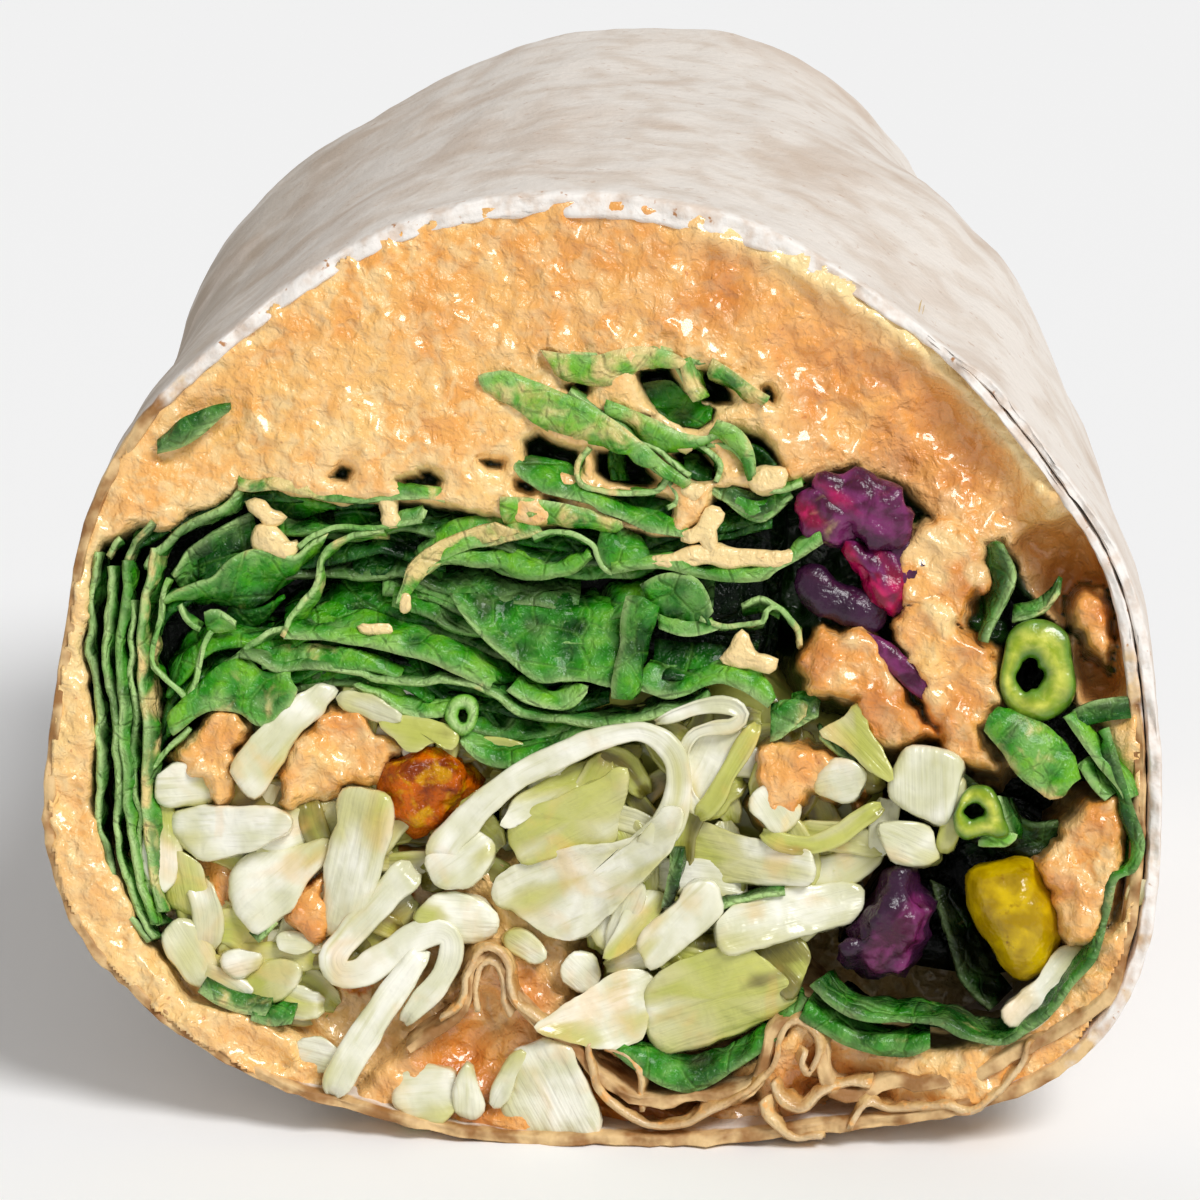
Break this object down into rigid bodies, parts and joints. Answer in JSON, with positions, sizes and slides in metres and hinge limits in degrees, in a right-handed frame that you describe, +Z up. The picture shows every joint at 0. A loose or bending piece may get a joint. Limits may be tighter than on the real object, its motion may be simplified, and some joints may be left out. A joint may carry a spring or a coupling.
{
  "type": "hummus wrap half",
  "caption": "Half of a hummus wrap lying on its side: a rolled flour tortilla whose cut end shows hummus, spinach, shredded cabbage and mixed greens.",
  "frame": {"origin": "on the floor under the middle of the whole half wrap", "axes": "+Y along the roll from the cut end to the tucked end, +Z up, +X to the right of the cut face seen from the front"},
  "size_m": [0.0804, 0.0974, 0.067],
  "materials": {
    "tortilla": "dry baked flour dough, pale with light brown toasted patches, matt",
    "hummus": "soft wet bean paste, bumpy, light orange",
    "leaf": "raw leaves, dark green with pale cut edges, moist",
    "cabbage": "raw shreds, white to pale yellow-green, moist",
    "greens": "raw mixed leaves and scallion greens, moist",
    "red_cabbage": "raw red cabbage shreds, magenta to purple, moist",
    "red_cabbage_dark": "raw red cabbage, dark purple, moist",
    "raisin": "soaked golden raisin, wet amber brown",
    "kernel": "amber yellow kernel, glossy",
    "scallion": "raw scallion, pale green ring, moist"
  },
  "bodies": {
    "root": {"tortilla": "tortilla", "hummus": "hummus", "spinach": "leaf", "white_cabbage": "cabbage", "mixed_greens": "greens", "red_cabbage_top": "red_cabbage", "red_cabbage_low": "red_cabbage_dark", "golden_raisin": "raisin", "yellow_kernel": "kernel", "scallion_ring_large": "scallion", "scallion_ring_small": "scallion", "cabbage_stem_piece": "cabbage"}
  },
  "joints": []
}
